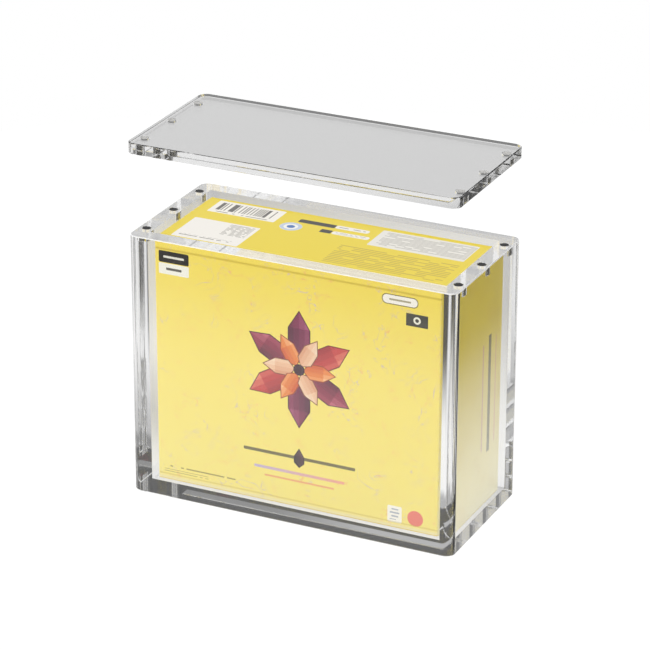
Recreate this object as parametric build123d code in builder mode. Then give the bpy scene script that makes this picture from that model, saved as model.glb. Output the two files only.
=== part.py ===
from build123d import *
import os

os.makedirs("parts", exist_ok=True)

# Millimetres. +Z is up, the front faces -Y and the left end is at -X.
# The origin is the centre of the underside of the base plate.

# Trading cards, which set the size of the packs
card_width = 63.0
card_height = 88.0

# Foil packs: a block of cards in a flat film sleeve with crimped ends
pack_width = 78.0
pack_height = 131.0
pack_thickness = 4.8
film_thickness = 0.8
card_slack = 1.0
shoulder = 4.5
pack_columns = 2
packs_deep = 12
pack_face_gap = 0.1
pack_side_gap = 1.5
pack_headspace = 3.5

# Folded carton of printed board
board = 0.5
carton_corner_radius = 1.0
dust_flap_reach = 55.0
dust_flap_relief = 0.6
tuck_tab_depth = 15.0
tuck_tab_relief = 2.0
glue_flap_width = 12.0

# Case of clear sheet, bonded face to face, with a loose lid
wall_sheet = 9.0
base_sheet = 6.0
lid_sheet = 6.0
end_clearance = 2.25
face_clearance = 3.05
top_clearance = 2.5
corner_radius = 5.0
edge_break = 0.5

# Disc magnets, let into the top edges of the end walls and the underside of the lid
magnet_diameter = 5.0
wall_magnet_depth = 5.0
lid_magnet_depth = 3.0
magnet_fit = 0.1
magnet_recess = 0.05
magnet_edge_inset = 13.0
magnet_bevel = 0.25

# The lid is held over the open case by this much
lid_lift = 44.5

# Packs side by side in two columns, and front to back in each column
packs_length = pack_columns * pack_width + (pack_columns + 1) * pack_side_gap
packs_depth = packs_deep * pack_thickness + (packs_deep - 1) * pack_face_gap

# The tuck tab lies in front of the packs and the glue flap behind them
carton_inner_depth = packs_depth + 2 * (board + pack_face_gap)
carton_length = packs_length + 2 * board
carton_depth = carton_inner_depth + 2 * board
carton_height = 4 * board + pack_height + pack_headspace

case_inner_length = carton_length + 2 * end_clearance
case_inner_depth = carton_depth + 2 * face_clearance
case_length = case_inner_length + 2 * wall_sheet
case_depth = case_inner_depth + 2 * wall_sheet
case_height = base_sheet + carton_height + top_clearance

carton_bottom = base_sheet
carton_top = carton_bottom + carton_height
packs_bottom = carton_bottom + 2 * board
lid_underside = case_height + lid_lift

end_wall_x = case_length / 2 - wall_sheet / 2
panel_y = case_depth / 2 - wall_sheet / 2
magnet_row_y = case_depth / 2 - magnet_edge_inset
magnet_places = {"front": -magnet_row_y, "middle": 0.0, "back": magnet_row_y}
pocket_radius = magnet_diameter / 2 + magnet_fit
sides = {"left": -1, "right": 1}


def finish(builder, label):
    """Name a finished piece and write it to its own file."""
    builder.part.label = label
    export_step(builder.part, f"parts/{label}.step")


# Base plate: set in between the four walls, flush with their lower edges
with BuildPart() as base_plate:
    with BuildSketch():
        Rectangle(case_inner_length, case_inner_depth)
    extrude(amount=base_sheet)
finish(base_plate, "base_plate")


# End walls: full depth, rounded at their outer upright corners, pocketed for magnets
for side, sign in sides.items():
    with BuildPart() as end_wall:
        with BuildSketch():
            with Locations((sign * end_wall_x, 0)):
                Rectangle(wall_sheet, case_depth)
        extrude(amount=case_height)
        outer_face = end_wall.faces().sort_by(Axis.X)[0 if sign < 0 else -1]
        fillet(outer_face.edges().filter_by(Axis.Z), corner_radius)
        inner_x = sign * case_inner_length / 2
        level_faces = end_wall.faces().sort_by(Axis.Z)
        rims = level_faces[0].edges() + level_faces[-1].edges()
        outer_rims = rims.filter_by(lambda edge: abs(edge.center().X - inner_x) > edge_break)
        chamfer(outer_rims, edge_break)
        with BuildSketch(Plane.XY.offset(case_height)):
            with Locations(*[(sign * end_wall_x, y) for y in magnet_places.values()]):
                Circle(pocket_radius)
        extrude(amount=-(wall_magnet_depth + magnet_recess), mode=Mode.SUBTRACT)
    finish(end_wall, f"{side}_end_wall")


# Front and back panels: between the end walls
for face, sign in {"front": -1, "back": 1}.items():
    with BuildPart() as panel:
        with BuildSketch():
            with Locations((0, sign * panel_y)):
                Rectangle(case_inner_length, wall_sheet)
        extrude(amount=case_height)
        outer_face = panel.faces().sort_by(Axis.Y)[0 if sign < 0 else -1]
        chamfer(outer_face.edges().filter_by(Axis.X), edge_break)
    finish(panel, f"{face}_panel")


# Lid: a flat plate with the same footprint and blind pockets in its underside
with BuildPart() as lid_plate:
    with BuildSketch(Plane.XY.offset(lid_underside)):
        RectangleRounded(case_length, case_depth, corner_radius)
    extrude(amount=lid_sheet)
    broad_faces = lid_plate.faces().filter_by(Axis.Z)
    chamfer(broad_faces.edges(), edge_break)
    lid_pockets = [(sign * end_wall_x, y) for sign in sides.values() for y in magnet_places.values()]
    with BuildSketch(Plane.XY.offset(lid_underside)):
        with Locations(*lid_pockets):
            Circle(pocket_radius)
    extrude(amount=lid_magnet_depth + magnet_recess, mode=Mode.SUBTRACT)
finish(lid_plate, "lid_plate")


# Disc magnets: each stands on the floor of its pocket, just under flush
for side, sign in sides.items():
    for place, y in magnet_places.items():
        with BuildPart() as wall_magnet:
            with BuildSketch(Plane.XY.offset(case_height - magnet_recess)):
                with Locations((sign * end_wall_x, y)):
                    Circle(magnet_diameter / 2)
            extrude(amount=-wall_magnet_depth)
            chamfer(wall_magnet.edges().filter_by(GeomType.CIRCLE), magnet_bevel)
        finish(wall_magnet, f"{side}_wall_magnet_{place}")

        with BuildPart() as lid_magnet:
            with BuildSketch(Plane.XY.offset(lid_underside + magnet_recess)):
                with Locations((sign * end_wall_x, y)):
                    Circle(magnet_diameter / 2)
            extrude(amount=lid_magnet_depth)
            chamfer(lid_magnet.edges().filter_by(GeomType.CIRCLE), magnet_bevel)
        finish(lid_magnet, f"{side}_lid_magnet_{place}")


# Carton sleeve: four walls, with the glue flap behind the left end of the back wall.
# The front wall stands a board higher, and the closed top flap lies behind its edge.
with BuildPart() as carton_sleeve:
    with BuildSketch(Plane.XY.offset(carton_bottom + board)):
        RectangleRounded(carton_length, carton_depth, carton_corner_radius)
        Rectangle(carton_length - 2 * board, carton_depth - 2 * board, mode=Mode.SUBTRACT)
    extrude(amount=carton_height - board)
    with BuildSketch(Plane.XY.offset(carton_top)):
        with Locations((0, board / 2)):
            Rectangle(carton_length, carton_depth - board)
    extrude(amount=-board, mode=Mode.SUBTRACT)
    glue_flap_x = -(carton_length / 2 - board) + glue_flap_width / 2
    with BuildSketch(Plane.XY.offset(carton_bottom + 2 * board)):
        with Locations((glue_flap_x, carton_depth / 2 - 1.5 * board)):
            Rectangle(glue_flap_width, board)
    extrude(amount=carton_height - 4 * board)
finish(carton_sleeve, "carton_sleeve")


# Top flap: the top panel and the tuck tab behind the front wall
with BuildPart() as carton_top_flap:
    with BuildSketch(Plane.XY.offset(carton_top)):
        with Locations((0, board / 2)):
            Rectangle(carton_length, carton_depth - board)
    extrude(amount=-board)
    back_corners = carton_top_flap.edges().filter_by(Axis.Z).group_by(Axis.Y)[-1]
    fillet(back_corners, carton_corner_radius)
    tuck_tab_length = carton_length - 2 * board - 2 * tuck_tab_relief
    with BuildSketch(Plane.XY.offset(carton_top - board)):
        with Locations((0, -carton_depth / 2 + 1.5 * board)):
            Rectangle(tuck_tab_length, board)
    extrude(amount=-tuck_tab_depth)
finish(carton_top_flap, "carton_top_flap")


# Bottom flap: a glued panel under the whole sleeve
with BuildPart() as carton_bottom_flap:
    with BuildSketch(Plane.XY.offset(carton_bottom)):
        RectangleRounded(carton_length, carton_depth, carton_corner_radius)
    extrude(amount=board)
finish(carton_bottom_flap, "carton_bottom_flap")


# Dust flaps: folded in from both ends, under the top flap and on the bottom flap
dust_flap_depth = packs_depth - 2 * dust_flap_relief
for level, underside in {"top": carton_top - 2 * board, "bottom": carton_bottom + board}.items():
    for side, sign in sides.items():
        with BuildPart() as dust_flap:
            flap_x = sign * (carton_length / 2 - board - dust_flap_reach / 2)
            with BuildSketch(Plane.XY.offset(underside)):
                with Locations((flap_x, 0)):
                    Rectangle(dust_flap_reach, dust_flap_depth)
            extrude(amount=board)
        finish(dust_flap, f"carton_{level}_{side}_dust_flap")


# Foil packs: a film sleeve, swollen over its block of cards on both faces
block_width = card_width + card_slack
block_height = card_height + card_slack
column_pitch = pack_width + pack_side_gap
row_pitch = pack_thickness + pack_face_gap
pack_number = 0
for column in range(pack_columns):
    for row in range(packs_deep):
        pack_number += 1
        pack_x = (column - (pack_columns - 1) / 2) * column_pitch
        pack_y = (row - (packs_deep - 1) / 2) * row_pitch
        middle = Plane(
            origin=(pack_x, pack_y, packs_bottom + pack_height / 2),
            x_dir=(1, 0, 0),
            z_dir=(0, -1, 0),
        )
        with BuildPart() as pack:
            with BuildSketch(middle):
                Rectangle(pack_width, pack_height)
            extrude(amount=film_thickness / 2, both=True)
            for outward in (-1, 1):
                with BuildSketch(middle.offset(outward * film_thickness / 2)):
                    Rectangle(block_width + 2 * shoulder, block_height + 2 * shoulder)
                with BuildSketch(middle.offset(outward * pack_thickness / 2)):
                    Rectangle(block_width, block_height)
                loft()
        finish(pack, f"foil_pack_{pack_number:02d}")


print("case with lid off:", case_length, case_depth, case_height)
print("case closed:", case_height + lid_sheet)
print("carton:", carton_length, carton_depth, carton_height)
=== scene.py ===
"""A clear display case with its lid lifted off and a printed carton inside, dressed for a product picture."""

import logging
import math
from contextlib import contextmanager
from dataclasses import dataclass
from enum import Enum, IntEnum
from functools import partial
from typing import Any, Callable, Iterator

import bmesh
import bpy
from mathutils import Matrix, Vector

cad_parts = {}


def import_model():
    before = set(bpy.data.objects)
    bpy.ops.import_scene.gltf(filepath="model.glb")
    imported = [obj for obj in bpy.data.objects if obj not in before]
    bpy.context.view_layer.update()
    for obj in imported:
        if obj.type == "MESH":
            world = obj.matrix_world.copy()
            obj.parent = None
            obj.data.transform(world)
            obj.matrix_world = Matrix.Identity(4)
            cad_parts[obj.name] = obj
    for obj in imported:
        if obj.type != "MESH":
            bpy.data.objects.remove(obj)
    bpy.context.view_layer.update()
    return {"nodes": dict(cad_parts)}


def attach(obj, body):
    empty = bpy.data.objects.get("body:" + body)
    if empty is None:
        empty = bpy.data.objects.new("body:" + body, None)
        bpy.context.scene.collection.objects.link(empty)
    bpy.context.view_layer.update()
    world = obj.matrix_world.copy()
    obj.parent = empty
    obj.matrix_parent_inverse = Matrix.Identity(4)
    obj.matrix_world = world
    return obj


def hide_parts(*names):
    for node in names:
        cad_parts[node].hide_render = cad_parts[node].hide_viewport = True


Node = bpy.types.Node
Socket = bpy.types.NodeSocket
Tree = bpy.types.NodeTree
Material = bpy.types.Material
Piece = bpy.types.Object
Adder = Callable[..., Node]

MM = 0.001
HAIR = 1e-6
"""Two places nearer than this, in metres, are the same."""

SQUARE = 0.99
"""Share of a normal along an axis from which a face of the sheet is square to that axis."""

FACING = 0.9
"""Share of a normal along an axis from which a face of the carton or of a magnet faces that way."""

RISING = 0.1
"""Share of a normal upwards from which a face of the sheet belongs to its top."""

WHITE = (1, 1, 1, 1)

log = logging.getLogger("display_case")


def linear(hex_code: str) -> tuple[float, float, float, float]:
    """Turn an sRGB hex colour into linear values.

    Args:
        hex_code: Six hex digits with a leading hash sign.

    Returns:
        Linear red, green, blue and an alpha of one.
    """
    parts = [int(hex_code[i : i + 2], 16) / 255 for i in (1, 3, 5)]
    flat = [c / 12.92 if c <= 0.04045 else ((c + 0.055) / 1.055) ** 2.4 for c in parts]
    return (flat[0], flat[1], flat[2], 1.0)


def add_node(tree: Tree, kind: str, inputs: dict | tuple = (), **settings: Any) -> Node:
    """Add a shader node with its settings, its plain input values and its links.

    Args:
        tree: Node tree that takes the node.
        kind: Blender's type name of the node, after ShaderNode.
        inputs: What the inputs get, in their order or by name or number: plain values, sockets, or nodes,
            of which the first output in use is linked.
        **settings: Properties of the node.

    Returns:
        The new node.
    """
    node = tree.nodes.new(f"ShaderNode{kind}")
    for name, setting in settings.items():
        setattr(node, name, setting)
    for key, value in inputs.items() if isinstance(inputs, dict) else enumerate(inputs):
        if isinstance(value, Node):
            value = next(socket for socket in value.outputs if socket.enabled)
        if isinstance(value, Socket):
            tree.links.new(value, node.inputs[key])
        else:
            node.inputs[key].default_value = value
    return node


def distance_past(add: Adder, point: Node | Socket, half: tuple) -> Node:
    """Work out how far a point lies from a rectangle about the origin.

    Args:
        add: Adds a node to the tree.
        point: The point.
        half: Half the rectangle's sizes. The third is larger than the point's height ever is.

    Returns:
        The distance, nought inside the rectangle.
    """
    folded = add("VectorMath", (point,), operation="ABSOLUTE")
    past = add("VectorMath", (folded, half), operation="SUBTRACT")
    out = add("VectorMath", (past, (0.0, 0.0, 0.0)), operation="MAXIMUM")
    return add("VectorMath", (out,), operation="LENGTH")


def sent_on(add: Adder) -> tuple[Node, Node, Node]:
    """Tell apart the rays that clear sheet or metal has sent on, because the studio looks other to them.

    Args:
        add: Adds a node to the tree of the table or of the room.

    Returns:
        The light path, one for all rays sent on, and one for those mirrored on their way.
    """
    path = add("LightPath")
    kinds = (path.outputs["Is Glossy Ray"], path.outputs["Is Transmission Ray"])
    by_sheet = add("Math", kinds, operation="MAXIMUM")
    depth = add("Math", (path.outputs["Glossy Depth"], 0.5), operation="GREATER_THAN")
    return path, by_sheet, add("Math", (depth, by_sheet), operation="MULTIPLY")


@contextmanager
def on_bench(piece: Piece) -> Iterator[bmesh.types.BMesh]:
    """Open one piece in edit mode with nothing selected, and close it again.

    Args:
        piece: Mesh object to work on.

    Yields:
        The mesh as it is open for editing.
    """
    bpy.ops.object.select_all(action="DESELECT")
    piece.select_set(True)
    bpy.context.view_layer.objects.active = piece
    bpy.ops.object.mode_set(mode="EDIT")
    bpy.ops.mesh.select_all(action="DESELECT")
    try:
        yield bmesh.from_edit_mesh(piece.data)
    finally:
        bpy.ops.object.mode_set(mode="OBJECT")


def block(name: str, low: tuple, high: tuple) -> Piece:
    """Cut a block to size, with its place in its mesh.

    Args:
        name: Name of the piece.
        low: Lowest corner in metres.
        high: Highest corner in metres.

    Returns:
        The new object.
    """
    low_corner, high_corner = Vector(low), Vector(high)
    middle, size = (low_corner + high_corner) / 2, high_corner - low_corner
    bpy.ops.object.select_all(action="DESELECT")
    bpy.ops.mesh.primitive_cube_add(size=1.0, location=middle, scale=size)
    piece = bpy.context.object
    piece.name = piece.data.name = name
    bpy.ops.object.transform_apply(location=True, rotation=True, scale=True)
    return piece


def upright(a: Vector, b: Vector) -> bool:
    """Whether the edge between two points stands upright."""
    return abs(a.z - b.z) > HAIR


def level(a: Vector, b: Vector) -> bool:
    """Whether the edge between two points lies level."""
    return abs(a.z - b.z) < HAIR


def on_plane(axis: str, spot: float, *points: Vector) -> bool:
    """Whether all the points lie on the plane across an axis at a spot."""
    return all(abs(getattr(point, axis) - spot) < HAIR for point in points)


def round_edges(piece: Piece, wanted: Callable[[Vector, Vector], bool], width: float, steps: int) -> None:
    """Bevel the edges whose two ends pass a test.

    Args:
        piece: Piece to work on.
        wanted: Test on an edge's two end points.
        width: Bevel width in metres.
        steps: Number of segments across the bevel.
    """
    with on_bench(piece) as mesh:
        bpy.ops.mesh.select_mode(type="EDGE")
        for edge in mesh.edges:
            edge.select_set(wanted(edge.verts[0].co, edge.verts[1].co))
        bmesh.update_edit_mesh(piece.data)
        bpy.ops.mesh.bevel(offset=width, segments=steps, profile=0.5, affect="EDGES")


def divide(piece: Piece, point: tuple, normal: tuple) -> None:
    """Divide a piece's faces along a plane, without opening it.

    Args:
        piece: Piece to work on.
        point: A point on the plane in metres.
        normal: The plane's normal.
    """
    with on_bench(piece):
        bpy.ops.mesh.select_all(action="SELECT")
        bpy.ops.mesh.bisect(plane_co=point, plane_no=normal)


def drill(piece: Piece, centre: tuple, radius: float, low: float, high: float) -> None:
    """Sink a flat-bottomed round pocket along z.

    Args:
        piece: Piece to work on.
        centre: The pocket's place in x and y, in metres.
        radius: Radius in metres.
        low: Lower end of the cutter.
        high: Upper end of the cutter.
    """
    middle = (*centre, (low + high) / 2)
    bpy.ops.object.select_all(action="DESELECT")
    bpy.ops.mesh.primitive_cylinder_add(vertices=48, radius=radius, depth=high - low, location=middle)
    cutter = bpy.context.object
    bpy.ops.object.select_all(action="DESELECT")
    bpy.context.view_layer.objects.active = piece
    piece.select_set(True)
    cut = piece.modifiers.new("pocket", "BOOLEAN")
    cut.operation, cut.solver, cut.object = "DIFFERENCE", "EXACT", cutter
    bpy.ops.object.modifier_apply(modifier=cut.name)
    bpy.data.objects.remove(cutter)


def dress(piece: Piece, finishes: list[Material], choose: Callable[[Vector, Vector], int]) -> None:
    """Give each face of a piece its finish.

    Args:
        piece: Piece to dress.
        finishes: The materials, in slot order.
        choose: Slot number for a face, from its centre and its normal.
    """
    piece.data.materials.clear()
    for finish in finishes:
        piece.data.materials.append(finish)
    for face in piece.data.polygons:
        face.material_index = choose(face.center, face.normal)


def place(piece: Piece, body: str, slot: str, *nodes: str) -> None:
    """Hang a finished piece on its body and hide the nodes of the frame that it stands for.

    Args:
        piece: The finished piece.
        body: Body that carries it.
        slot: A material slot's name; not used.
        *nodes: Nodes of the frame that it replaces.
    """
    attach(piece, body)
    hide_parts(*nodes)
    log.info("%s: %d faces on %s", piece.name, len(piece.data.polygons), body)


@dataclass(frozen=True)
class Finish:
    """A finish: a named material, whose surface each kind of finish works out."""

    name: str

    def surface(self, add: Adder) -> Node:
        """Shader of the surface, which each finish makes its own way."""
        raise NotImplementedError

    def build(self) -> Material:
        """Make the material.

        Returns:
            The material with its surface.
        """
        material = bpy.data.materials.new(self.name)
        material.use_nodes = True
        material.node_tree.nodes.clear()
        add = partial(add_node, material.node_tree)
        add("OutputMaterial", (self.surface(add),))
        return material


@dataclass(frozen=True)
class CastAcrylic(Finish):
    """Cell-cast acrylic (PMMA): clear and glossy, with the room's dark and bright lines in its edges."""

    roughness: float = 0.0
    clearness: float = 1.0
    tint: str = "#F9F9F9"
    shadow_tint: str = "#FAFBFA"
    ior: float = 1.49

    def surface(self, add: Adder) -> Node:
        """Glass to the eye, and clear to lamps and scattered light.

        Args:
            add: Adds a node to the material.

        Returns:
            The surface shader.
        """
        looks = {"Base Color": linear(self.tint), "Roughness": self.roughness, "IOR": self.ior}
        glass = add("BsdfPrincipled", looks | {"Transmission Weight": self.clearness})
        path = add("LightPath")
        kinds = (path.outputs["Is Shadow Ray"], path.outputs["Is Diffuse Ray"])
        lamps = add("Math", kinds, operation="MAXIMUM")
        clear = add("BsdfTransparent", (linear(self.shadow_tint),))
        return add("MixShader", (lamps, glass, clear))


@dataclass(frozen=True)
class CementFilm(Finish):
    """Solvent cement in a closed joint: the two sheets have become one, so the eye sees nothing there."""

    def surface(self, add: Adder) -> Node:
        """Wholly clear, without a surface of its own."""
        return add("BsdfTransparent", (WHITE,))


@dataclass(frozen=True)
class PlatedMetal(Finish):
    """Nickel plate on a sintered magnet: bright, a little soft, with fine tumbling marks."""

    side: str = "#CFCDC7"
    pole: str = "#CFCDC7"
    roughness: float = 0.2
    grain_mm: float = 0.35
    mark_depth_mm: float = 0.01

    def surface(self, add: Adder) -> Node:
        """Metal with tumbling marks, whose upper pole may be painted a colour of its own: on the wall magnets
        a painted dark reflection.

        Args:
            add: Adds a node to the material.

        Returns:
            The surface shader.
        """
        where = add("TexCoord").outputs["Object"]
        grain = add("TexNoise", {"Vector": where, "Scale": 1 / (self.grain_mm * MM), "Detail": 3.0})
        colour = linear(self.side)
        # Painted reflection: a pole colour of its own darkens the upper face, standing in for the dark room
        # mirrored there
        if self.pole != self.side:
            facing = add("SeparateXYZ", (add("NewGeometry").outputs["Normal"],))
            up = add("Math", (facing.outputs["Z"], FACING), operation="GREATER_THAN")
            colour = add("Mix", {0: up, 6: colour, 7: linear(self.pole)}, data_type="RGBA")
        rough = add("MapRange", (grain, 0.0, 1.0, self.roughness * 0.7, self.roughness * 1.4))
        relief = {"Height": grain, "Distance": self.mark_depth_mm * MM, "Strength": 0.4}
        marks = add("Bump", relief)
        looks = {"Base Color": colour, "Metallic": 1.0, "Roughness": rough, "Normal": marks}
        return add("BsdfPrincipled", looks)


class Panel(Enum):
    """The carton's panels, by the axis that runs across each, its sign, and the axis that runs up it."""

    FRONT = ("X", 1.0, "Z")
    BACK = ("X", -1.0, "Z")
    RIGHT = ("Y", 1.0, "Z")
    LEFT = ("Y", -1.0, "Z")
    TOP = ("X", 1.0, "Y")


class InkSheet:
    """Inks laid over one another on a flat panel of board, in millimetres across and up the panel."""

    BAR_GAPS = 0.2
    """Share of the cells in a block of broken rules that is left blank."""

    BAR_HEIGHT = 0.45
    """Height of a bar over its line height."""

    STRIPE_GAPS = 0.48
    """Share of blank among the stripes."""

    TIP_SLOPE, FOOT_SLOPE = 0.62, 1.1
    """Half width gained along a crystal's length from its tip and from its foot."""

    OUTLINE_MM = 0.55

    def __init__(self, add: Adder, panel: Panel, ground: Node) -> None:
        """Start a sheet.

        Args:
            add: Adds a node to the material.
            panel: Panel that the sheet prints.
            ground: Colour under all the inks.
        """
        self.add, self.colour = add, ground
        across, sign, up = panel.value
        where = add("TexCoord").outputs["Object"]
        in_mm = add("VectorMath", {0: where, "Scale": 1 / MM}, operation="SCALE")
        axes = add("SeparateXYZ", (in_mm,))
        self.across = add("Math", (axes.outputs[across], sign), operation="MULTIPLY")
        self.up = axes.outputs[up]
        self.point = add("CombineXYZ", (self.across, self.up))

    def lay(self, mask: Node, ink: Node | str, strength: float = 1.0) -> None:
        """Lay an ink where a mask is one.

        Args:
            mask: Where the ink goes.
            ink: Hex colour, or a node's colour.
            strength: Share of the ink that covers.
        """
        share = self.add("Math", (mask, strength), operation="MULTIPLY")
        colour = linear(ink) if isinstance(ink, str) else ink
        self.colour = self.add("Mix", {0: share, 6: self.colour, 7: colour}, data_type="RGBA")

    def both(self, first: Node, second: Node) -> Node:
        """Mask where both of two masks hold."""
        return self.add("Math", (first, second), operation="MULTIPLY")

    def from_centre(self, point: Node, centre: tuple) -> Node:
        """Place of a point as seen from a centre in mm."""
        return self.add("VectorMath", (point, (*centre, 0.0)), operation="SUBTRACT")

    def box(self, centre: tuple, size: tuple, corner: float) -> Node:
        """Mask a rectangle with round corners.

        Args:
            centre: Its middle in mm.
            size: Its width and height in mm.
            corner: Its corner radius in mm.

        Returns:
            One inside the rectangle.
        """
        half = (size[0] / 2 - corner, size[1] / 2 - corner, 1.0)
        reach = distance_past(self.add, self.from_centre(self.point, centre), half)
        return self.add("Math", (reach, corner), operation="LESS_THAN")

    def boxes(self, *rows: tuple) -> None:
        """Lay plain rectangles.

        Args:
            *rows: Each one's middle, size and corner radius in mm, its ink, and the share that covers.
        """
        for centre, size, corner, ink, share in rows:
            self.lay(self.box(centre, size, corner), ink, share)

    def rings(self, *rows: tuple) -> None:
        """Lay rings, or discs where half the line's width is the radius.

        Args:
            *rows: Each one's middle, radius at the middle of the line and half the line's width in mm, its
                height over its width, and its ink.
        """
        for centre, radius, width, squash, ink in rows:
            even = (self.from_centre(self.point, centre), (1, 1 / squash, 0))
            stretched = self.add("VectorMath", even, operation="MULTIPLY")
            reach = self.add("VectorMath", (stretched,), operation="LENGTH")
            self.lay(self.add("Math", (reach, radius, width), operation="COMPARE"), ink)

    def rules(self, *rows: tuple) -> None:
        """Lay blocks of thin broken rules, plain bars where a carton has its small print.

        Args:
            *rows: Each block's middle and size, its shortest bar's length and its line height in mm, its ink,
                and the share that covers.
        """
        add = self.add
        for centre, size, dash, line, ink, share in rows:
            pitch = (1 / dash, 1 / line, 0.0)
            cells = add("VectorMath", (self.point, pitch), operation="MULTIPLY")
            cell = add("VectorMath", (cells,), operation="FLOOR")
            chance = add("TexWhiteNoise", {"Vector": cell}, noise_dimensions="2D")
            kept = add("Math", (chance, self.BAR_GAPS), operation="GREATER_THAN")
            part = add("VectorMath", (cells,), operation="FRACTION")
            height = add("SeparateXYZ", (part,)).outputs["Y"]
            thin = add("Math", (height, self.BAR_HEIGHT), operation="LESS_THAN")
            self.lay(self.both(self.box(centre, size, 0.1), self.both(kept, thin)), ink, share)

    def stripes(self, step: float) -> Node:
        """Mask upright stripes of uneven width.

        Args:
            step: Width of the thinnest stripe in mm.

        Returns:
            One on the stripes.
        """
        scaled = self.add("Math", (self.across, step), operation="DIVIDE")
        whole = self.add("Math", (scaled,), operation="FLOOR")
        chance = self.add("TexWhiteNoise", {"W": whole}, noise_dimensions="1D")
        return self.add("Math", (chance, self.STRIPE_GAPS), operation="GREATER_THAN")

    def crystal(self, centre: tuple, tilt: float, size: tuple, inks: tuple[str, ...]) -> None:
        """Print one faceted crystal.

        Args:
            centre: Its middle in mm.
            tilt: Its lean in degrees, to the left when positive.
            size: Half its width and half its length in mm.
            inks: Its outline, then its facets from dark to light.
        """
        add = self.add
        wide, long = size
        turn = {"Vector": self.point, "Center": (*centre, 0.0), "Angle": -math.radians(tilt)}
        turned = add("VectorRotate", turn, rotation_type="Z_AXIS")
        parts = add("SeparateXYZ", (self.from_centre(turned, centre),))
        side = add("Math", (parts.outputs["X"],), operation="ABSOLUTE")
        tip, foot = (
            add("Math", (parts.outputs["Y"], slope, wide - abs(slope) * long), operation="MULTIPLY_ADD")
            for slope in (self.TIP_SLOPE, -self.FOOT_SLOPE)
        )
        ends = add("Math", (tip, foot), operation="MAXIMUM")
        ends_held = add("Math", (ends, 0.0), operation="MAXIMUM")
        reach = add("Math", (side, ends_held), operation="ADD")
        # A facet's tone: which side of the middle ridges it lies on, and whether it's up in the tip
        across = {0: parts.outputs["X"], 1: -wide, 2: wide, 4: 0.6, "Steps": 3.0}
        ridge = add("MapRange", across, interpolation_type="STEPPED")
        crown = add("Math", (tip, wide * 0.02), operation="GREATER_THAN")
        tone = add("Math", (crown, 0.3, ridge), operation="MULTIPLY_ADD")
        ramp = add("ValToRGB", (tone,))
        stops = ramp.color_ramp.elements
        stops[0].color, stops[1].color = linear(inks[1]), linear(inks[3])
        stops.new(0.5).color = linear(inks[2])
        for edge, ink in ((wide, inks[0]), (wide - self.OUTLINE_MM, ramp)):
            self.lay(add("Math", (reach, edge), operation="LESS_THAN"), ink)


GROUND_INKS_WITH_PAINTED_REFLECTION: dict[Panel, tuple[str, str, float]] = {
    Panel.FRONT: ("#F9E783", "#F8DE5C", 1.0),
    Panel.BACK: ("#F9E783", "#F8DE5C", 1.0),
    Panel.TOP: ("#F6E472", "#EBD224", 1.0),
    Panel.RIGHT: ("#FFF4BE", "#F5DA42", 0.7),
    Panel.LEFT: ("#FFF4BE", "#F5DA42", 0.7),
}
# Each panel's yellow inks at its foot and its head, and the share of its height where the head's is full. The
# paler foot is a painted reflection of the bright table in the clear sheet.
"""Each panel's yellow inks at its foot and its head, and the share of its height where the head's is full."""

CRYSTAL_RINGS = (
    (
        (0.0, 4.0, 33.0, 6.4),
        (
            ("#3E0F26", "#5E1A3A", "#842B50", "#B0587C"),
            ("#3E0F26", "#6E1D38", "#98304C", "#C8687C"),
            ("#6E1A20", "#A82C30", "#CC4440", "#EE8C72"),
        ),
    ),
    (
        (30.0, 2.0, 21.0, 4.6),
        (("#A0421F", "#D8622E", "#EC8A40", "#FBC490"), ("#8A4A34", "#E2A37E", "#F2C39E", "#FBE2C8")),
    ),
)
"""The rosette's six long and six short crystals: the first one's lean in degrees, its inner and outer
end and half its width in mm, then the sets of inks that they take in turn."""


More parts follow.
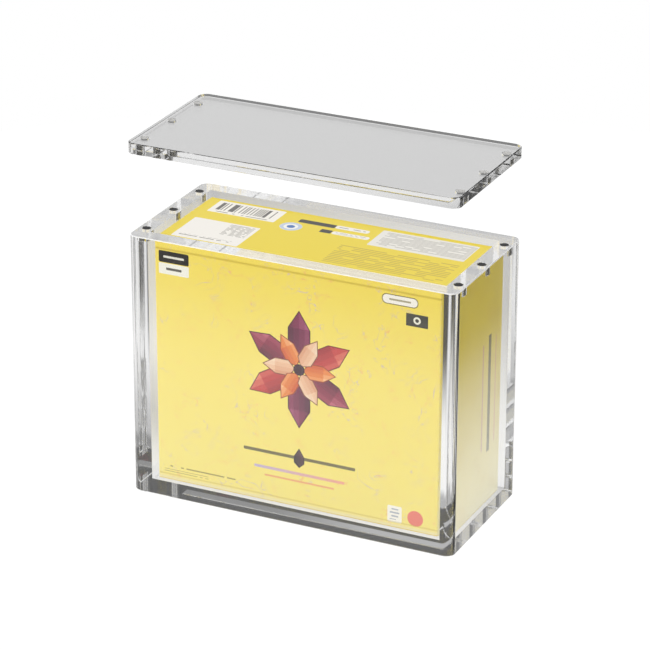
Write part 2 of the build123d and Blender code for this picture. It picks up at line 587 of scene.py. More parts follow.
@dataclass(frozen=True)
class PrintedBoard(Finish):
    """Folding boxboard, offset printed and varnished: softly glossy, and paler where folds crack the ink."""

    panel: Panel
    length_mm: float
    depth_mm: float
    low_mm: float
    high_mm: float
    roughness: float = 0.34
    varnish: float = 0.35
    varnish_roughness: float = 0.08
    fibre_mm: float = 0.4
    fibre_depth_mm: float = 0.012
    crack_mm: float = 1.6
    worn_mm: tuple[float, float] = (0.9, 0.1)
    cloud_mm: float = 62.5
    cloud_share: float = 0.3

    def ground(self, add: Adder) -> Node:
        """The yellow ground, painted paler towards the foot as a reflection of the bright table, with a faint
        mottle from the press.

        Args:
            add: Adds a node to the material.

        Returns:
            The ground's colour.
        """
        foot, head, reach = GROUND_INKS_WITH_PAINTED_REFLECTION[self.panel]
        reached_mm = self.low_mm + reach * (self.high_mm - self.low_mm)
        where = add("TexCoord").outputs["Object"]
        axes = add("SeparateXYZ", (where,))
        # Painted reflection: the ground pales towards the foot, where the clear sheet mirrors the bright
        # table
        height = add("MapRange", (axes.outputs["Z"], self.low_mm * MM, reached_mm * MM))
        cloud = add("TexNoise", {"Vector": where, "Scale": 1 / (self.cloud_mm * MM), "Detail": 2.0})
        lifted = add("Math", (cloud, self.cloud_share, height), operation="MULTIPLY_ADD")
        eased = add("Math", (lifted, self.cloud_share / 2), operation="SUBTRACT")
        return add("Mix", {0: eased, 6: linear(foot), 7: linear(head)}, data_type="RGBA")

    def print_contours(self, sheet: InkSheet) -> None:
        """Print faint broken contour lines.

        Args:
            sheet: The sheet that takes the inks.
        """
        add = sheet.add
        for per_mm, levels, ink in ((0.055, 7.0, "#B9A2DC"), (0.075, 6.0, "#F0957E")):
            form = {"Vector": sheet.point, "Scale": per_mm, "Detail": 3.0}
            hills = add("TexNoise", form | {"Roughness": 0.6, "Distortion": 0.8})
            steps = add("Math", (hills, levels), operation="MULTIPLY")
            fold = add("Math", (steps, 0.5), operation="PINGPONG")
            line = add("Math", (fold, 0.028), operation="LESS_THAN")
            patches = add("TexNoise", form | {"Scale": per_mm * 0.9, "Detail": 0.0})
            some = add("MapRange", (patches, 0.46, 0.62))
            sheet.lay(sheet.both(line, some), ink, 0.42)

    def print_front(self, sheet: InkSheet) -> None:
        """Print the big panel: faint contour lines, a rosette of crystals, plain bars and plain labels.

        Args:
            sheet: The sheet that takes the inks.
        """
        self.print_contours(sheet)
        add, heart, divider = sheet.add, (2.0, 84.0), (2.0, 34.0)
        tint = add("MapRange", (sheet.across, -24.0, 28.0))
        lilac = add("Mix", {0: tint, 6: linear("#A99AE6"), 7: linear("#F28C92")}, data_type="RGBA")
        sheet.boxes(
            (divider, (64.0, 1.8), 0.4, "#5E5638", 0.92),
            ((2.0, 25.0), (52.0, 1.6), 0.6, lilac, 0.75),
            ((2.0, 20.6), (40.0, 1.0), 0.4, "#EE8E74", 0.75),
            ((-69.6, 133.0), (17.4, 6.4), 0.9, "#2A2622", 1.0),
            ((-69.6, 133.0), (12.0, 1.2), 0.4, "#F1EDE0", 0.9),
            ((-69.6, 126.4), (17.4, 6.0), 0.6, "#F6F2E6", 1.0),
            ((-69.6, 126.4), (9.0, 1.4), 0.4, "#3A362F", 0.9),
            ((58.0, 132.6), (20.0, 5.6), 2.6, "#8A7E4C", 1.0),
            ((58.0, 132.6), (19.0, 4.6), 2.2, "#FBF4EA", 1.0),
            ((58.0, 132.6), (12.0, 1.0), 0.4, "#A39A78", 0.9),
            ((67.4, 123.4), (12.0, 6.8), 0.3, "#4C4942", 1.0),
            ((56.4, 13.6), (8.0, 9.4), 0.8, "#FBF6EC", 1.0),
        )
        for (first, inner, outer, half_wide), cycle in CRYSTAL_RINGS:
            away = (inner + outer) / 2
            for number in range(6):
                lean = first + 60.0 * number
                turn = math.radians(lean)
                middle = (heart[0] - math.sin(turn) * away, heart[1] + math.cos(turn) * away)
                sheet.crystal(middle, lean, (half_wide, (outer - inner) / 2), cycle[number % len(cycle)])
        sheet.crystal(divider, 0.0, (3.0, 5.6), ("#1D1014", "#2E1A20", "#4A2A32", "#7A5058"))
        sheet.rings(
            (heart, 1.6, 1.6, 1.0, "#3E0F26"),
            ((67.4, 123.4), 1.5, 0.5, 1.0, "#F3EEDC"),
            ((68.0, 13.4), 2.2, 2.2, 1.0, "#EE7E70"),
        )
        sheet.rules(
            ((56.4, 13.6), (5.4, 6.4), 1.3, 2.0, "#9AA0B4", 0.8),
            ((-56.0, 14.2), (42.0, 1.5), 1.6, 1.7, "#8C7A42", 0.8),
            ((-64.0, 11.4), (26.0, 1.5), 1.6, 1.7, "#8C7A42", 0.8),
        )
        # Painted shade: a soft darker line just under the top edge and another just over the foot. Painted
        # light: below them the foot pales to cream
        for height, spread, ink, share in ((137.2, 1.0, "#BFA02A", 0.6), (9.2, 0.7, "#CDB250", 0.5)):
            away = add("Math", (sheet.up, height), operation="SUBTRACT")
            span = add("Math", (away,), operation="ABSOLUTE")
            line = add("MapRange", (span, spread, 0.0), interpolation_type="SMOOTHSTEP")
            sheet.lay(line, ink, share)
        # Painted light: the lowest few millimetres of the panel pale to cream
        painted_foot_glow = add("MapRange", (sheet.up, 9.4, 6.4), interpolation_type="SMOOTHSTEP")
        sheet.lay(painted_foot_glow, "#F1E4BC", 0.85)

    def print_side(self, sheet: InkSheet) -> None:
        """Print an end panel: plain upright bars over soft patches of a deeper yellow.

        Args:
            sheet: The sheet that takes the inks.
        """
        patches = sheet.add("TexNoise", {"Vector": sheet.point, "Scale": 0.05, "Detail": 2.0})
        sheet.lay(sheet.add("MapRange", (patches, 0.5, 0.75)), "#E2B94A", 0.25)
        sheet.boxes(
            ((6.0, 68.0), (1.4, 60.0), 0.4, "#D07FA4", 0.6),
            ((14.6, 68.0), (3.4, 66.0), 0.4, "#57502E", 0.85),
            ((22.6, 68.0), (1.0, 60.0), 0.4, "#E58C96", 0.6),
        )

    def print_top(self, sheet: InkSheet) -> None:
        """Print the top flap: a striped label, a ruled panel, a round spot, tabs and broken rules.

        Args:
            sheet: The sheet that takes the inks.
        """
        sheet.boxes(
            ((-54.5, 19.8), (39.0, 16.5), 0.8, "#F4EFE6", 1.0),
            ((-56.0, -13.0), (38.0, 28.0), 0.8, "#F2EDE6", 1.0),
            ((-13.5, 20.0), (21.0, 4.4), 0.9, "#34302B", 1.0),
            ((6.5, 20.2), (19.0, 4.2), 1.6, "#F1ECE4", 1.0),
            ((-5.0, 12.2), (6.4, 4.4), 0.5, "#34302B", 1.0),
            ((9.0, 12.2), (21.0, 4.0), 1.6, "#F1ECE4", 1.0),
            ((48.5, 15.6), (54.0, 22.0), 0.8, "#E9E5DD", 1.0),
        )
        bars = sheet.both(sheet.box((-54.5, 20.6), (33.0, 10.5), 0.2), sheet.stripes(0.62))
        sheet.lay(bars, "#3A3733", 0.9)
        sheet.rings(
            ((-24.3, 10.4), 3.0, 3.0, 0.94, "#F3F1EC"),
            ((-24.3, 10.4), 4.9, 1.0, 0.94, "#BFCBE0"),
            ((-24.3, 10.4), 1.1, 1.1, 0.94, "#3E6FB4"),
        )
        sheet.rules(
            ((-54.5, 13.6), (30.0, 1.6), 1.3, 1.6, "#5A554C", 0.9),
            ((-46.0, -8.0), (14.0, 15.0), 1.1, 1.5, "#8A857C", 0.85),
            ((-57.0, -22.8), (30.0, 2.0), 1.4, 2.0, "#5E5A52", 0.9),
            ((6.5, 20.2), (15.0, 1.8), 1.4, 1.8, "#8E887E", 0.9),
            ((9.0, 12.2), (17.0, 1.8), 1.4, 1.8, "#8E887E", 0.9),
            ((50.0, 16.4), (50.0, 18.0), 4.5, 1.5, "#98938A", 0.7),
            ((43.0, -13.0), (66.0, 24.0), 6.0, 2.1, "#A98D33", 0.6),
        )

    def surface(self, add: Adder) -> Node:
        """Varnished print with a trace of the board's fibre, cracked a little along its folds.

        Args:
            add: Adds a node to the material.

        Returns:
            The surface shader.
        """
        sheet = InkSheet(add, self.panel, self.ground(add))
        if self.panel in (Panel.FRONT, Panel.BACK):
            self.print_front(sheet)
        elif self.panel is Panel.TOP:
            self.print_top(sheet)
        else:
            self.print_side(sheet)
        # Ink cracks a little along the folds, so the board's white shows there
        at_end = self.panel in (Panel.RIGHT, Panel.LEFT)
        axis, half = ("Y", self.depth_mm / 2) if at_end else ("X", self.length_mm / 2)
        where = add("TexCoord").outputs["Object"]
        across = add("SeparateXYZ", (where,)).outputs[axis]
        out = add("Math", (across,), operation="ABSOLUTE")
        near_fold = add("MapRange", (out, *((half - reach) * MM for reach in self.worn_mm)))
        fleck = add("TexNoise", {"Vector": where, "Scale": 1 / (self.crack_mm * MM), "Detail": 3.0})
        worn = add("MapRange", (fleck, 0.45, 0.7, 0.0, 0.8))
        sheet.lay(sheet.both(near_fold, worn), "#F3EACB")
        fibre = add("TexNoise", {"Vector": where, "Scale": 1 / (self.fibre_mm * MM), "Detail": 3.0})
        relief = {"Height": fibre, "Distance": self.fibre_depth_mm * MM, "Strength": 0.6}
        tooth = add("Bump", relief)
        rough = add("MapRange", (fibre, 0.0, 1.0, self.roughness - 0.06, self.roughness + 0.1))
        varnish = {"Coat Weight": self.varnish, "Coat Roughness": self.varnish_roughness}
        looks = {"Base Color": sheet.colour, "Roughness": rough, "Normal": tooth}
        return add("BsdfPrincipled", looks | varnish)


@dataclass(frozen=True)
class RawBoard(Finish):
    """Uncoated side and cut edge of folding boxboard: warm grey-white, matt, with flecks of pulp."""

    colour: str = "#DDD6C6"
    fleck: str = "#B9AE98"
    fleck_mm: float = 0.8
    fleck_depth_mm: float = 0.03

    def surface(self, add: Adder) -> Node:
        """Matt board with flecks and a soft tooth.

        Args:
            add: Adds a node to the material.

        Returns:
            The surface shader.
        """
        where = add("TexCoord").outputs["Object"]
        pulp = add("TexNoise", {"Vector": where, "Scale": 1 / (self.fleck_mm * MM), "Detail": 4.0})
        spots = add("MapRange", (pulp, 0.5, 0.72))
        inks = {0: spots, 6: linear(self.colour), 7: linear(self.fleck)}
        colour = add("Mix", inks, data_type="RGBA")
        relief = {"Height": pulp, "Distance": self.fleck_depth_mm * MM, "Strength": 0.6}
        tooth = add("Bump", relief)
        return add("BsdfPrincipled", {"Base Color": colour, "Roughness": 0.85, "Normal": tooth})


@dataclass(frozen=True)
class PackFilm(Finish):
    """Printed metallised polypropylene film: satin, with fine crimp ribs across both sealed ends."""

    colour: str = "#E3B92E"
    crease_colour: str = "#F4DC7A"
    rib_mm: float = 1.0
    wrinkle_mm: float = 1000 / 60
    relief_mm: float = 0.25
    crimp_low_mm: float = 14.0
    crimp_high_mm: float = 128.0

    def surface(self, add: Adder) -> Node:
        """Satin film, wrinkled all over and ribbed at both ends.

        Args:
            add: Adds a node to the material.

        Returns:
            The surface shader.
        """
        where = add("TexCoord").outputs["Object"]
        height = add("SeparateXYZ", (where,)).outputs["Z"]
        turns = add("Math", (height, 2 * math.pi / (self.rib_mm * MM)), operation="MULTIPLY")
        rib = add("Math", (turns,), operation="SINE")
        low = add("Math", (height, self.crimp_low_mm * MM), operation="LESS_THAN")
        high = add("Math", (height, self.crimp_high_mm * MM), operation="GREATER_THAN")
        ends = add("Math", (low, high), operation="ADD")
        crimp = add("Math", (rib, ends), operation="MULTIPLY")
        form = {"Vector": where, "Scale": 1 / (self.wrinkle_mm * MM), "Detail": 3.0, "Distortion": 0.6}
        wrinkle = add("TexNoise", form)
        relief = add("Math", (crimp, wrinkle), operation="ADD")
        bump = add("Bump", {"Height": relief, "Distance": self.relief_mm * MM, "Strength": 0.7})
        inks = {0: wrinkle, 6: linear(self.colour), 7: linear(self.crease_colour)}
        colour = add("Mix", inks, data_type="RGBA")
        looks = {"Base Color": colour, "Metallic": 0.7, "Roughness": 0.3, "Normal": bump}
        return add("BsdfPrincipled", looks)


@dataclass(frozen=True)
class WhiteTable(Finish):
    """White laminate, which clear sheet shows as a bright pool round the case, with a shade behind it."""

    paint: str = "#F1F1F1"
    glow: float = 1.08
    glow_share: float = 0.84
    room: float = 0.09
    pool_right: tuple[float, float] = (0.11, 0.2)
    pool_front: tuple[float, float] = (-0.18, -0.38)
    pool_back: tuple[float, float] = (0.12, 0.24)
    pool_level: float = 0.97
    footprint: tuple[float, float, float] = (0.083, 0.043, 1.0)
    under_reach: float = 0.2 * MM
    under_bounce_tint: str = "#FFF6DE"
    under_back: float = 0.6
    warm_from: float = -0.03
    shade_reach: float = 0.15
    shade_level: float = 0.5
    shade_start: tuple[float, float] = (0.06, -0.01)
    shade_side: tuple[float, float] = (-0.04, 0.02)
    contact_reach: tuple[float, float] = (0.01, 0.022)
    contact_level: float = 0.48

    def pool(self, add: Adder, axes: Node, gap: Node, mirrored: Node) -> tuple[Node, Node]:
        """How bright the table is to clear sheet, by its place.

        Args:
            add: Adds a node to the material.
            axes: The place on the table.
            gap: Its distance from the case's footprint.
            mirrored: One for rays mirrored on their way.

        Returns:
            The brightness, and one where the table lies under the case.
        """
        across, deep = axes.outputs["X"], axes.outputs["Y"]
        under = add("Math", (gap, self.under_reach), operation="LESS_THAN")
        before = add("MapRange", (deep, *self.shade_start), interpolation_type="SMOOTHSTEP")
        rightward = add("MapRange", (across, *self.shade_side))
        lit_part = add("Math", (before, rightward), operation="MAXIMUM")
        # Painted light and shade under the case: it glows bright under the front, standing in for light
        # carried down the walls, and dimmer under the back, a painted shadow
        levels = (self.warm_from, self.footprint[1], self.pool_level, self.under_back)
        under_level = add("MapRange", (deep, *levels))
        fading = (gap, 0.0, self.shade_reach, self.shade_level, self.pool_level)
        shade = add("MapRange", fading, interpolation_type="SMOOTHSTEP")
        around = add("Mix", {0: lit_part, 2: shade, 3: self.pool_level})
        pool = add("Mix", {0: under, 2: around, 3: under_level})
        # Behind the case the foot of the walls mirrors the shaded crack between case and table
        darkening = (gap, *self.contact_reach, self.contact_level, 1.0)
        contact = add("MapRange", darkening, interpolation_type="SMOOTHSTEP")
        behind = add("Math", (deep, self.footprint[1]), operation="GREATER_THAN")
        mirrored_behind = add("Math", (behind, mirrored), operation="MULTIPLY")
        kept = add("Mix", {0: mirrored_behind, 2: 1.0, 3: contact})
        return add("Math", (pool, kept), operation="MULTIPLY"), under

    def surface(self, add: Adder) -> Node:
        """White to the eye with a faint shadow, and by its place to rays that clear sheet sends on.

        Args:
            add: Adds a node to the material.

        Returns:
            The surface shader.
        """
        path, by_sheet, mirrored = sent_on(add)
        where = add("TexCoord").outputs["Object"]
        axes = add("SeparateXYZ", (where,))
        right, front, back = (
            add("MapRange", (axes.outputs[axis], *span), interpolation_type="SMOOTHSTEP")
            for axis, span in (("X", self.pool_right), ("Y", self.pool_front), ("Y", self.pool_back))
        )
        past_ends = add("Math", (front, back), operation="MAXIMUM")
        past_any = add("Math", (past_ends, right), operation="MAXIMUM")
        dim_right = add("Math", (right, mirrored), operation="MULTIPLY")
        not_dim = add("Math", (1.0, dim_right), operation="SUBTRACT")
        far = add("Math", (past_any, not_dim), operation="MULTIPLY")
        level_here, under = self.pool(add, axes, distance_past(add, where, self.footprint), mirrored)
        final_level = add("Mix", {0: dim_right, 2: level_here, 3: self.room})
        # Painted bounce light: under the front of the case the glow is tinted warm, for light thrown back by
        # the yellow carton
        in_front = add("Math", (axes.outputs["Y"], self.warm_from), operation="LESS_THAN")
        warmed = add("Math", (under, in_front), operation="MULTIPLY")
        warm = add("Mix", {0: warmed, 6: WHITE, 7: linear(self.under_bounce_tint)}, data_type="RGBA")
        paint = add("BsdfDiffuse", (linear(self.paint),))
        glow = add("Emission", {"Strength": self.glow})
        share = add("Math", (path.outputs["Is Camera Ray"], self.glow_share), operation="MULTIPLY")
        to_eye = add("MixShader", (share, paint, glow))
        bright = add("Emission", (warm, final_level))
        beyond = add("BsdfTransparent", (WHITE,))
        to_sheet = add("MixShader", (far, bright, beyond))
        return add("MixShader", (by_sheet, to_eye, to_sheet))


class Cut(IntEnum):
    """How a face of clear sheet was left, in the order of the sheet's finishes."""

    FACE = 0
    EDGE = 1
    JOINT = 2
    TOP = 3
    BEVEL = 4


class Board(IntEnum):
    """What a face of the carton shows, in the order of the carton's finishes."""

    FRONT = 0
    BACK = 1
    RIGHT = 2
    LEFT = 3
    TOP = 4
    RAW = 5


@dataclass
class Sheetwork:
    """Sizes that the case and its lid share: one footprint, one sheet and the same rows of magnet pockets."""

    length: float = 184.0 * MM
    depth: float = 85.0 * MM
    wall: float = 9.0 * MM
    corner: float = 5.0 * MM
    corner_steps: int = 20
    edge_break: float = 0.5 * MM
    break_steps: int = 2
    pocket_radius: float = 2.6 * MM
    pocket_inset: float = 13.0 * MM

    @property
    def half(self) -> tuple[float, float]:
        """Half the length and half the depth."""
        return self.length / 2, self.depth / 2

    @property
    def pocket_rows(self) -> tuple[float, float, float]:
        """The magnets' places in y."""
        row = self.half[1] - self.pocket_inset
        return (-row, 0.0, row)


@dataclass
class Tub(Sheetwork):
    """The open case: a base set in between four walls, all bonded, with magnet pockets in the end walls."""

    height: float = 145.0 * MM
    base: float = 6.0 * MM
    pocket_depth: float = 5.08 * MM
    contact: float = 0.05 * MM

    @property
    def half_in(self) -> tuple[float, float]:
        """Half the inner length and half the inner depth."""
        return self.half[0] - self.wall, self.half[1] - self.wall

    def end_wall(self, side: str, finishes: list[Material]) -> Piece:
        """Cut, round, drill and dress one end wall.

        Args:
            side: left or right.
            finishes: The sheet's finishes.

        Returns:
            The finished wall.
        """
        sign = -1 if side == "left" else 1
        inner, outer = sign * self.half_in[0], sign * self.half[0]
        deep, joint = self.half[1], self.base - self.contact
        low, high = (min(inner, outer), -deep, 0.0), (max(inner, outer), deep, self.height)
        wall = block(f"{side}_wall_sheet", low, high)
        corners = (self.corner, self.corner_steps)
        round_edges(wall, lambda a, b: upright(a, b) and on_plane("x", outer, a, b), *corners)

        def rim(a: Vector, b: Vector) -> bool:
            """Whether an edge runs round the top or the foot, away from the inner face."""
            at_end = on_plane("z", 0.0, a, b) or on_plane("z", self.height, a, b)
            return at_end and not on_plane("x", inner, a, b)

        round_edges(wall, rim, self.edge_break, self.break_steps)
        for y in (-self.half_in[1], self.half_in[1]):
            divide(wall, (0, y, 0), (0, 1, 0))
        divide(wall, (0, 0, joint), (0, 0, 1))
        middle = sign * (self.half[0] - self.wall / 2)
        for y in self.pocket_rows:
            drill(wall, (middle, y), self.pocket_radius, self.height - self.pocket_depth, self.height + MM)

        def choose(centre: Vector, normal: Vector) -> int:
            """Tell how a face was left.

            Args:
                centre: The face's centre.
                normal: Its normal.

            Returns:
                Its finish.
            """
            if on_plane("x", inner, centre):
                return Cut.JOINT if abs(centre.y) > self.half_in[1] or centre.z < joint else Cut.FACE
            if normal.z > RISING and centre.z > self.height - self.edge_break - HAIR:
                return Cut.TOP if normal.z > SQUARE else Cut.BEVEL
            return Cut.FACE if abs(normal.x) > SQUARE and on_plane("x", outer, centre) else Cut.EDGE

        dress(wall, finishes, choose)
        return wall

    def panel(self, face: str, finishes: list[Material]) -> Piece:
        """Cut, chamfer and dress the front or the back panel.

        Args:
            face: front or back.
            finishes: The sheet's finishes.

        Returns:
            The finished panel.
        """
        sign = -1 if face == "front" else 1
        inner, outer = sign * self.half_in[1], sign * self.half[1]
        half, joint = self.half_in[0], self.base - self.contact
        low, high = (-half, min(inner, outer), 0.0), (half, max(inner, outer), self.height)
        sheet = block(f"{face}_window_sheet", low, high)
        breaks = (self.edge_break, self.break_steps)
        round_edges(sheet, lambda a, b: level(a, b) and on_plane("y", outer, a, b), *breaks)
        divide(sheet, (0, 0, joint), (0, 0, 1))

        def choose(centre: Vector, normal: Vector) -> int:
            """Tell how a face was left.

            Args:
                centre: The face's centre.
                normal: Its normal.

            Returns:
                Its finish.
            """
            if abs(normal.x) > SQUARE:
                return Cut.JOINT
            if on_plane("y", inner, centre) and abs(normal.y) > SQUARE:
                return Cut.JOINT if centre.z < joint else Cut.FACE
            if normal.z > RISING:
                return Cut.TOP if normal.z > SQUARE else Cut.BEVEL
            return Cut.FACE if abs(normal.y) > SQUARE else Cut.EDGE

        dress(sheet, finishes, choose)
        return sheet

    def base_sheet(self, finishes: list[Material]) -> Piece:
        """Cut and dress the base, which touches the carton through a thin film of air.

        Args:
            finishes: The sheet's finishes.

        Returns:
            The finished base.
        """
        half, deep = self.half_in
        sheet = block("base_sheet", (-half, -deep, 0.0), (half, deep, self.base - self.contact))
        dress(sheet, finishes, lambda centre, normal: Cut.FACE if abs(normal.z) > SQUARE else Cut.JOINT)
        return sheet

    def build(self, finishes: list[Material]) -> None:
        """Build the five sheets and hang them on the case's body.

        Args:
            finishes: The sheet's finishes.
        """
        for side in ("left", "right"):
            place(self.end_wall(side, finishes), "case", "clear_sheet", f"{side}_end_wall")
        for face in ("front", "back"):
            place(self.panel(face, finishes), "case", "clear_sheet", f"{face}_panel")
        place(self.base_sheet(finishes), "case", "clear_sheet", "base_plate")


@dataclass
class Lid(Sheetwork):
    """The loose lid: one plate with round corners and six blind pockets in its underside."""

    low: float = 189.5 * MM
    thickness: float = 6.0 * MM
    pocket_depth: float = 3.08 * MM

    def build(self, finishes: list[Material]) -> None:
        """Build the plate and hang it on the lid's body.

        Args:
            finishes: The sheet's finishes.
        """
        half, deep = self.half
        plate = block("lid_sheet", (-half, -deep, self.low), (half, deep, self.low + self.thickness))
        round_edges(plate, upright, self.corner, self.corner_steps)
        round_edges(plate, level, self.edge_break, self.break_steps)
        for x in (-half + self.wall / 2, half - self.wall / 2):
            for y in self.pocket_rows:
                drill(plate, (x, y), self.pocket_radius, self.low - MM, self.low + self.pocket_depth)
        dress(plate, finishes, lambda centre, normal: Cut.FACE if abs(normal.z) > SQUARE else Cut.EDGE)
        place(plate, "lid", "clear_sheet", "lid_plate")


@dataclass
class Carton:
    """The printed carton: four folded walls, a top flap with its tuck tab and a glued bottom panel."""

    INNER = 0.8
    """Share of the board's thickness in from its outer face from which a face is an inner one."""

    OVER_CREASE = 0.3
    """Share of a normal upwards from which a face of a rounded crease is printed as the top."""

    length: float = 161.5 * MM
    depth: float = 60.9 * MM
    low: float = 6.0 * MM
    high: float = 142.5 * MM
    board: float = 0.5 * MM
    corner: float = 1.0 * MM
    corner_steps: int = 5
    crease: float = 0.35 * MM
    crease_steps: int = 4
    tab_depth: float = 15.0 * MM
    tab_relief: float = 2.0 * MM
    glue_flap: float = 12.0 * MM
    glue_flap_corner: float = 0.2 * MM

    @property
    def half(self) -> tuple[float, float]:
        """Half the length and half the depth."""
        return self.length / 2, self.depth / 2

    def finishes(self) -> list[Material]:
        """Make the finishes, in the order of Board.

        Returns:
            The five printed ones and the raw board.
        """
        sizes = (self.length / MM, self.depth / MM, self.low / MM, self.high / MM)
        printed = [
            PrintedBoard(f"printed_boxboard_{panel.name.lower()}", panel, *sizes).build() for panel in Panel
        ]
        return [*printed, RawBoard("raw_boxboard").build()]

    def choose_wall(self, centre: Vector, normal: Vector) -> int:
        """Tell what a face of the folded walls shows.

        Args:
            centre: The face's centre.
            normal: Its normal.

        Returns:
            Its finish.
        """
        half, deep = (size - self.INNER * self.board for size in self.half)
        if abs(normal.z) > FACING or (abs(centre.x) < half and abs(centre.y) < deep):
            return Board.RAW
        if abs(normal.y) >= abs(normal.x):
            return Board.FRONT if normal.y < 0 else Board.BACK
        return Board.RIGHT if normal.x > 0 else Board.LEFT

    def walls(self, finishes: list[Material]) -> Piece:
        """Fold the four walls, with the front one a board higher, and glue the flap behind the left end.

        Args:
            finishes: The carton's finishes.

        Returns:
            The finished walls.
        """
        half, deep = self.half
        foot, top = self.low + self.board, self.high
        walls = block("carton_walls", (-half, -deep, foot), (half, deep, top))
        round_edges(walls, upright, self.corner, self.corner_steps)
        with on_bench(walls) as mesh:
            bpy.ops.mesh.select_mode(type="FACE")
            for face in mesh.faces:
                face.select_set(abs(face.normal.z) > FACING)
            bmesh.update_edit_mesh(walls.data)
            bpy.ops.mesh.delete(type="ONLY_FACE")
            bpy.ops.mesh.select_mode(type="VERT")
            for vert in mesh.verts:
                vert.select_set(vert.co.z > top - HAIR and vert.co.y > -deep + self.corner - HAIR)
            bmesh.update_edit_mesh(walls.data)
            bpy.ops.transform.translate(value=(0, 0, -self.board))
        shell = walls.modifiers.new("board", "SOLIDIFY")
        shell.thickness, shell.offset, shell.use_even_offset = self.board, -1.0, True
        bpy.ops.object.modifier_apply(modifier=shell.name)
        end, back = -half + self.board, deep - self.board
        flap_low = (end, back - self.board, foot + self.board)
        flap = block("glue_flap", flap_low, (end + self.glue_flap, back, top - 3 * self.board))
        corners = (self.glue_flap_corner, 2)
        round_edges(flap, lambda a, b: upright(a, b) and a.x > end + HAIR, *corners)
        bpy.ops.object.select_all(action="DESELECT")
        flap.select_set(True)
        walls.select_set(True)
        bpy.context.view_layer.objects.active = walls
        bpy.ops.object.join()
        dress(walls, finishes, self.choose_wall)
        return walls

    def top_flap(self, finishes: list[Material]) -> Piece:
        """Fold the top panel down at the back crease and tuck its tab behind the front wall.

        Args:
            finishes: The carton's finishes.

        Returns:
            The finished flap.
        """
        half, deep = self.half
        front = -deep + self.board
        flap = block("carton_top", (-half, front, self.high - self.board), (half, deep, self.high))
        corners = (self.corner, self.corner_steps)
        round_edges(flap, lambda a, b: upright(a, b) and on_plane("y", deep, a, b), *corners)
        tab_half = half - self.board - self.tab_relief
        for x in (-tab_half, tab_half):
            divide(flap, (x, 0, 0), (1, 0, 0))
        divide(flap, (0, front + self.board, 0), (0, 1, 0))
        with on_bench(flap) as mesh:
            bpy.ops.mesh.select_mode(type="FACE")
            for face in mesh.faces:
                centre = face.calc_center_median()
                at_tab = centre.y < front + self.board and abs(centre.x) < tab_half
                face.select_set(face.normal.z < -FACING and at_tab)
            bmesh.update_edit_mesh(flap.data)
            bpy.ops.mesh.extrude_region_move(TRANSFORM_OT_translate={"value": (0, 0, -self.tab_depth)})

        def fold(a: Vector, b: Vector) -> bool:
            """Whether an edge is the front or the back crease of the panel."""
            at_end = on_plane("y", front, a, b) or on_plane("y", deep, a, b)
            return at_end and on_plane("z", self.high, a, b)

        round_edges(flap, fold, self.crease, self.crease_steps)

        def choose(centre: Vector, normal: Vector) -> int:
            """Tell what a face of the flap shows.

            Args:
                centre: The face's centre.
                normal: Its normal.

            Returns:
                Its finish.
            """
            if normal.z > self.OVER_CREASE:
                return Board.TOP
            at_back = normal.y > FACING and centre.y > deep - self.board
            return Board.BACK if at_back else Board.RAW

        dress(flap, finishes, choose)
        return flap

    def bottom(self, finishes: list[Material]) -> Piece:
        """Cut the bottom panel and crease its four edges.

        Args:
            finishes: The carton's finishes, with plain yellow for the top's.

        Returns:
            The finished panel.
        """
        half, deep = self.half
        panel = block("carton_bottom", (-half, -deep, self.low), (half, deep, self.low + self.board))
        round_edges(panel, upright, self.corner, self.corner_steps)
        round_edges(panel, lambda a, b: on_plane("z", self.low, a, b), self.crease, self.crease_steps)
        dress(panel, finishes, lambda centre, normal: Board.RAW if normal.z > FACING else Board.TOP)
        return panel

    def build(self) -> None:
        """Build the carton's three visible pieces and hang them on the carton's body."""
        finishes = self.finishes()
        place(self.walls(finishes), "carton", "carton_board", "carton_sleeve")
        place(self.top_flap(finishes), "carton", "carton_board", "carton_top_flap")
        flood = RawBoard("yellow_flood_print", "#EBCB3C", "#F1D75E", 2.0).build()
        plain = [*finishes[: Board.TOP], flood, finishes[Board.RAW]]
        place(self.bottom(plain), "carton", "carton_board", "carton_bottom_flap")


@dataclass
class FrameDresser:
    """Finishes for the nodes of the frame whose shape is right as it is."""

    nodes: dict[str, Piece]

    def dress(self, word: str, finish: Finish) -> None:
        """Give one finish to every node whose name holds a word.

        Args:
            word: Part of the nodes' names.
            finish: The finish.
        """
        material = finish.build()
        for name in sorted(self.nodes):
            if word in name:
                self.nodes[name].data.materials.clear()
                self.nodes[name].data.materials.append(material)
                log.info("%s: %s", name, material.name)


@dataclass(frozen=True)
class Softbox:
    """A rectangular softbox. Sheet and metal mirror the room instead of the lamp."""

    name: str
    spot: tuple[float, float, float]
    size: tuple[float, float]
    watts: float

    def hang(self, aim: Vector) -> None:
        """Hang the softbox and turn it to the object.

        Args:
            aim: Point that it faces.
        """
        data = bpy.data.lights.new(self.name, "AREA")
        data.shape, data.size, data.size_y = "RECTANGLE", *self.size
        data.energy = self.watts
        lamp = bpy.data.objects.new(self.name, data)
        lamp.location = self.spot
        lamp.rotation_euler = (aim - Vector(self.spot)).to_track_quat("-Z", "Y").to_euler()
        lamp.visible_glossy = lamp.visible_transmission = False
        bpy.context.scene.collection.objects.link(lamp)


SOFTBOXES = (
    Softbox("overhead_softbox", (-0.1, 0.0, 1.3), (0.9, 0.9), 0.6),
    Softbox("front_softbox", (-0.6, -1.27, 0.75), (0.8, 0.8), 11.0),
    Softbox("back_softbox", (0.25, 1.1, 0.75), (0.8, 0.6), 6.0),
)

ROOM_PARTS = {
    "low": ("Z", 0.42, 0.375),
    "rear": ("Y", -0.2, 0.2),
    "left": ("X", 0.0, -0.2),
    "steep": ("Z", -0.355, -0.375),
    "high": ("Z", 0.375, 0.42),
    "front": ("Y", 0.2, -0.2),
}
"""Parts of the room by direction: the axis, and where along it each part begins and where it's whole."""


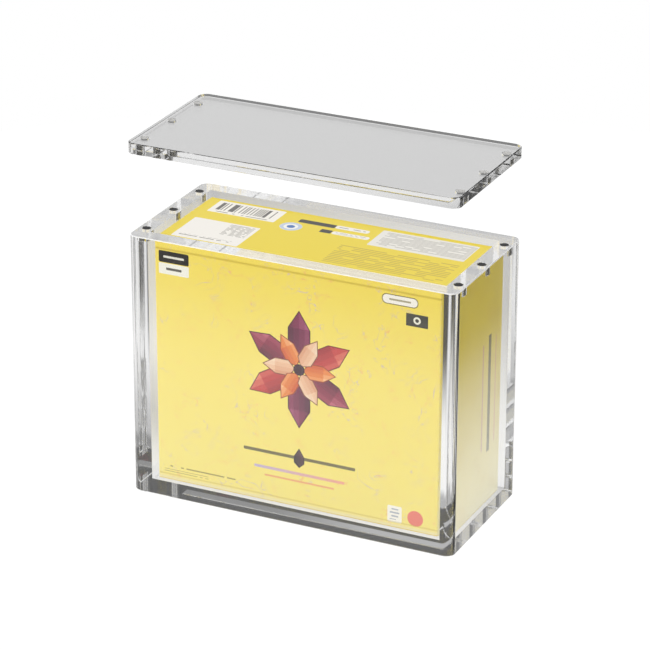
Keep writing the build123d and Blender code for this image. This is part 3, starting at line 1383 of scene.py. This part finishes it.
@dataclass
class Studio:
    """A white table under soft lamps, seen through a long lens."""

    azimuth: float = 25.444
    elevation: float = 23.261
    roll: float = 0.154
    distance: float = 1703.13 * MM
    aim: tuple[float, float, float] = (0.0, 0.0, 72.5 * MM)
    slide: tuple[float, float] = (0.37 * MM, 21.09 * MM)
    lens: float = 180.94
    sensor: float = 36.0
    table_radius: float = 0.6
    table_drop: float = 0.2 * MM
    see_through: tuple[float, float] = (0.565, 0.82)
    backdrop: float = 0.9
    half_lit: float = 0.45
    room: float = 0.09
    ambient: float = 0.76

    def camera(self) -> None:
        """Set up the camera that the picture was taken with."""
        a, e, r = (math.radians(v) for v in (self.azimuth, self.elevation, self.roll))
        back = Vector((math.sin(a) * math.cos(e), -math.cos(a) * math.cos(e), math.sin(e)))
        right = (-back).cross(Vector((0, 0, 1))).normalized()
        up = right.cross(-back)
        spot = Vector(self.aim) + back * self.distance + right * self.slide[0] + up * self.slide[1]
        side = right * math.cos(r) + up * math.sin(r)
        top = -right * math.sin(r) + up * math.cos(r)
        data = bpy.data.cameras.new("product_camera")
        data.lens, data.sensor_width, data.sensor_fit = self.lens, self.sensor, "HORIZONTAL"
        data.clip_end = 20.0
        camera = bpy.data.objects.new("product_camera", data)
        turn = Matrix((side, top, back)).transposed().to_4x4()
        camera.matrix_world = Matrix.Translation(spot) @ turn
        bpy.context.scene.collection.objects.link(camera)
        bpy.context.scene.camera = camera

    def surroundings(self) -> None:
        """Make the room: white to the eye, and dim to clear sheet, with light parts behind and in front."""
        world = bpy.data.worlds.new("studio")
        bpy.context.scene.world = world
        world.use_nodes = True
        world.node_tree.nodes.clear()
        add = partial(add_node, world.node_tree)
        path, by_sheet, mirrored = sent_on(add)
        parts = add("SeparateXYZ", (add("TexCoord").outputs["Generated"],))
        shades = {
            name: add("MapRange", (parts.outputs[axis], *span), interpolation_type="SMOOTHSTEP")
            for name, (axis, *span) in ROOM_PARTS.items()
        }
        # Light low behind the case but for a dim corner at the left, and half as much high in front
        dim_corner = add("Math", (shades["left"], shades["steep"]), operation="MULTIPLY")
        light_corner = add("Math", (1.0, dim_corner), operation="SUBTRACT")
        low_rear = add("Math", (shades["low"], shades["rear"]), operation="MULTIPLY")
        high_front = add("Math", (shades["high"], shades["front"]), operation="MULTIPLY")
        half_lit = add("Math", (high_front, self.half_lit), operation="MULTIPLY")
        lit = add("Math", (low_rear, light_corner, half_lit), operation="MULTIPLY_ADD")
        # The outer faces mirror the light part in front at all heights over the table
        outer_face = add("Math", (path.outputs["Transmission Depth"], 0.5), operation="LESS_THAN")
        rising = add("Math", (parts.outputs["Z"], 0.0), operation="GREATER_THAN")
        off_outside = add("Math", (outer_face, rising), operation="MULTIPLY")
        direct = add("Math", (off_outside, shades["front"]), operation="MULTIPLY")
        found = add("Math", (lit, direct), operation="MAXIMUM")
        mirrored_level = add("MapRange", (found, 0.0, 1.0, self.room, self.backdrop))
        through_level = add("MapRange", (shades["steep"], 0.0, 1.0, *self.see_through))
        seen = add("Mix", {0: mirrored, 2: through_level, 3: mirrored_level})
        behind_sheet = add("Mix", {0: by_sheet, 2: self.ambient, 3: seen})
        to_eye = add("Mix", {0: path.outputs["Is Camera Ray"], 2: behind_sheet, 3: 1.0})
        sky = add("Background", (WHITE, to_eye))
        add("OutputWorld", (sky,))

    def table(self) -> None:
        """Set up the round table, a hair under the case."""
        spot = (0, 0, -self.table_drop)
        bpy.ops.object.select_all(action="DESELECT")
        bpy.ops.mesh.primitive_circle_add(
            vertices=96, radius=self.table_radius, fill_type="NGON", location=spot
        )
        table = bpy.context.object
        table.name = "table"
        table.data.materials.append(WhiteTable("white_table", room=self.room).build())

    def build(self) -> None:
        """Build the whole studio."""
        self.camera()
        self.surroundings()
        self.table()
        for softbox in SOFTBOXES:
            softbox.hang(Vector(self.aim))
        scene = bpy.context.scene
        scene.view_settings.view_transform = "Standard"
        # Light passes between the sheets' faces many times before it leaves
        scene.cycles.max_bounces = 32
        scene.cycles.glossy_bounces = 20
        scene.cycles.transmission_bounces = 20
        scene.cycles.transparent_max_bounces = 48


def main() -> None:
    """Load the frame and build each sub-assembly around it."""
    logging.basicConfig(level=logging.INFO, format="%(message)s")
    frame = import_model()
    Studio().build()
    cuts = {
        Cut.FACE: CastAcrylic("cast_acrylic_face"),
        Cut.EDGE: CastAcrylic("cast_acrylic_polished_edge", roughness=0.05),
        Cut.JOINT: CementFilm("solvent_cement_film"),
        Cut.TOP: CastAcrylic("cast_acrylic_buffed_top_edge", roughness=0.05),
        Cut.BEVEL: CastAcrylic("cast_acrylic_scraped_bevel", roughness=0.4, clearness=0.3),
    }
    sheet_finishes = [cuts[cut].build() for cut in Cut]
    Tub().build(sheet_finishes)
    Lid().build(sheet_finishes)
    Carton().build()
    dresser = FrameDresser(frame["nodes"])
    # Painted reflection: the wall magnets' upper poles are painted near black, for the dark room mirrored in
    # the nickel
    dresser.dress("wall_magnet", PlatedMetal("nickel_plate_painted_dark_reflection", pole="#2C2C2E", roughness=0.3))
    dresser.dress("lid_magnet", PlatedMetal("nickel_plate_bright"))
    dresser.dress("dust_flap", RawBoard("raw_boxboard_flap"))
    dresser.dress("foil_pack", PackFilm("metallised_pack_film"))
    log.info("sizes written")


if __name__ == "__main__":
    main()
